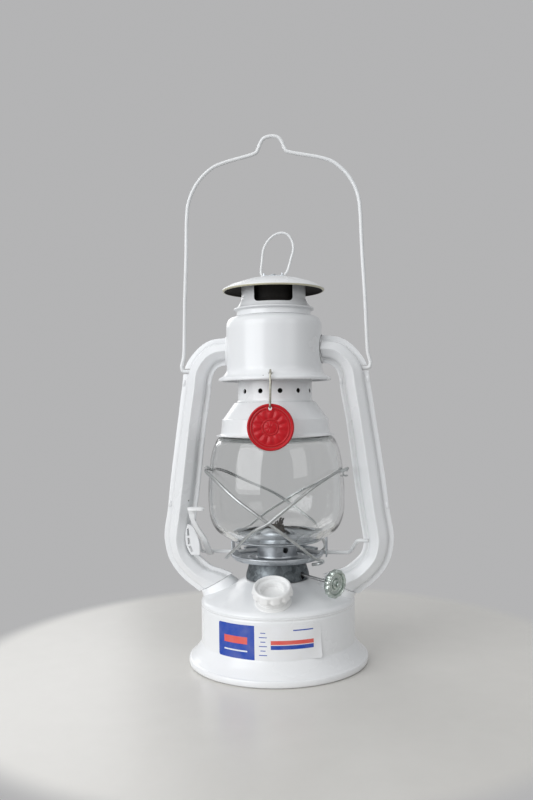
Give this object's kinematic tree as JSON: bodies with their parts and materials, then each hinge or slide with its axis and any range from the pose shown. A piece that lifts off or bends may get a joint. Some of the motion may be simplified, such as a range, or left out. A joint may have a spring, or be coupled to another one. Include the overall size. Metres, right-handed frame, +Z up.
{
  "type": "hurricane lantern",
  "caption": "Tubular kerosene lantern: tank with air chamber, side tubes, hood, lifting globe with wire guard, sprung chimney, wick drive and swinging bail.",
  "frame": {"origin": "centre of the foot's underside, on the surface it stands on", "axes": "+Z up, -Y to the front where the filler cap is, +X to the side of the wick knob"},
  "size_m": [0.1496, 0.115, 0.3394],
  "materials": {
    "white_enamel": "glossy white enamel",
    "white_wire": "white enamel on wire and strip",
    "dull_zinc": "dull galvanised sheet",
    "bright_zinc": "bright zinc plating",
    "plain_steel": "plain sheet steel",
    "clear_glass": "clear blown glass",
    "woven_cotton": "charred flat wick",
    "red_enamel": "glossy red enamel",
    "dark_rubber": "oil-proof sealing ring"
  },
  "bodies": {
    "stand": {"fount_body": "white_enamel", "fount_base": "white_enamel", "fount_lid": "dull_zinc", "air_dome": "white_enamel", "filler_neck": "white_enamel", "burner_collar": "dull_zinc", "burner_body": "plain_steel", "wick_tube": "plain_steel", "lever_guide": "white_enamel", "left_tube_front": "white_enamel", "left_tube_back": "white_enamel", "right_tube_front": "white_enamel", "right_tube_back": "white_enamel", "hood": "white_enamel", "hood_spring": "plain_steel"},
    "globe_carrier": {"air_dish": "bright_zinc", "burner_dome": "bright_zinc", "globe_plate": "bright_zinc", "globe": "clear_glass", "guard_wire_a": "bright_zinc", "guard_wire_b": "bright_zinc", "guard_clip_left": "bright_zinc", "guard_clip_right": "bright_zinc"},
    "lifter": {"lift_wire": "white_wire", "lift_lever": "white_wire"},
    "chimney": {"bell": "white_enamel", "chimney_tube": "plain_steel", "chimney_cage": "white_enamel", "canopy": "white_enamel", "ring_bracket": "plain_steel", "ring_rivet": "plain_steel"},
    "pull_ring": {"finger_ring": "white_wire"},
    "handle": {"bail": "white_wire"},
    "wick_drive": {"spur_shaft": "plain_steel", "wick_knob": "bright_zinc"},
    "wick_strip": {"wick": "woven_cotton"},
    "cap_seal": {"cap_gasket": "dark_rubber"},
    "cap": {"filler_cap": "white_enamel"},
    "tag_loop": {"tag_hook": "bright_zinc"},
    "tag": {"medallion": "red_enamel"}
  },
  "joints": [
    {"name": "bail_swing", "type": "hinge", "parent": "stand", "child": "handle", "pos_m": [0, 0, 0.1865], "axis": [1, 0, 0], "range_deg": [-150, 150]},
    {"name": "globe_lift", "type": "slide", "parent": "stand", "child": "globe_carrier", "axis": [0, 0, 1], "range_m": [0, 0.009]},
    {"name": "lever_turn", "type": "hinge", "parent": "stand", "child": "lifter", "pos_m": [0, 0, 0.0764], "axis": [1, 0, 0], "range_deg": [0, 44.7]},
    {"name": "chimney_lift", "type": "slide", "parent": "globe_carrier", "child": "chimney", "axis": [0, 0, 1], "range_m": [0, 0.0115], "stiffness_N_per_m": 60, "springref_m": -0.01, "deforming": ["hood_spring"]},
    {"name": "ring_swing", "type": "hinge", "parent": "chimney", "child": "pull_ring", "pos_m": [0, 0, 0.2473], "axis": [1, 0, 0], "range_deg": [-80, 80]},
    {"name": "wick_turn", "type": "hinge", "parent": "stand", "child": "wick_drive", "pos_m": [0.00132, 0.00176, 0.0577], "axis": [0.7967, -0.6004, -0.0698], "range_deg": [-153, 459]},
    {"name": "wick_rise", "type": "slide", "parent": "stand", "child": "wick_strip", "axis": [0, 0, 1], "range_m": [-0.012, 0.004]},
    {"name": "cap_turn", "type": "hinge", "parent": "cap_seal", "child": "cap", "pos_m": [0.00191, -0.03645, 0.04547], "axis": [0.0209, -0.3982, 0.9171], "range_deg": [0, 720.5]},
    {"name": "cap_rise", "type": "slide", "parent": "stand", "child": "cap_seal", "axis": [0.0209, -0.3982, 0.9171], "range_m": [0, 0.004]},
    {"name": "hook_swing", "type": "hinge", "parent": "stand", "child": "tag_loop", "pos_m": [0.00213, -0.03293, 0.1838], "axis": [-0.9979, -0.0645, 0], "range_deg": [0, 7]},
    {"name": "medallion_swing", "type": "hinge", "parent": "tag_loop", "child": "tag", "pos_m": [0.0027, -0.04181, 0.1621], "axis": [-0.9979, -0.0645, 0], "range_deg": [0, 6]}
  ],
  "couplings": [
    {"joint": "lever_turn", "follows": "globe_lift", "rad_per_m": 86.5},
    {"joint": "wick_turn", "follows": "wick_rise", "rad_per_m": -666.67},
    {"joint": "cap_turn", "follows": "cap_rise", "rad_per_m": 3141.6},
    {"joint": "medallion_swing", "follows": "globe_lift", "rad_per_m": 10}
  ]
}
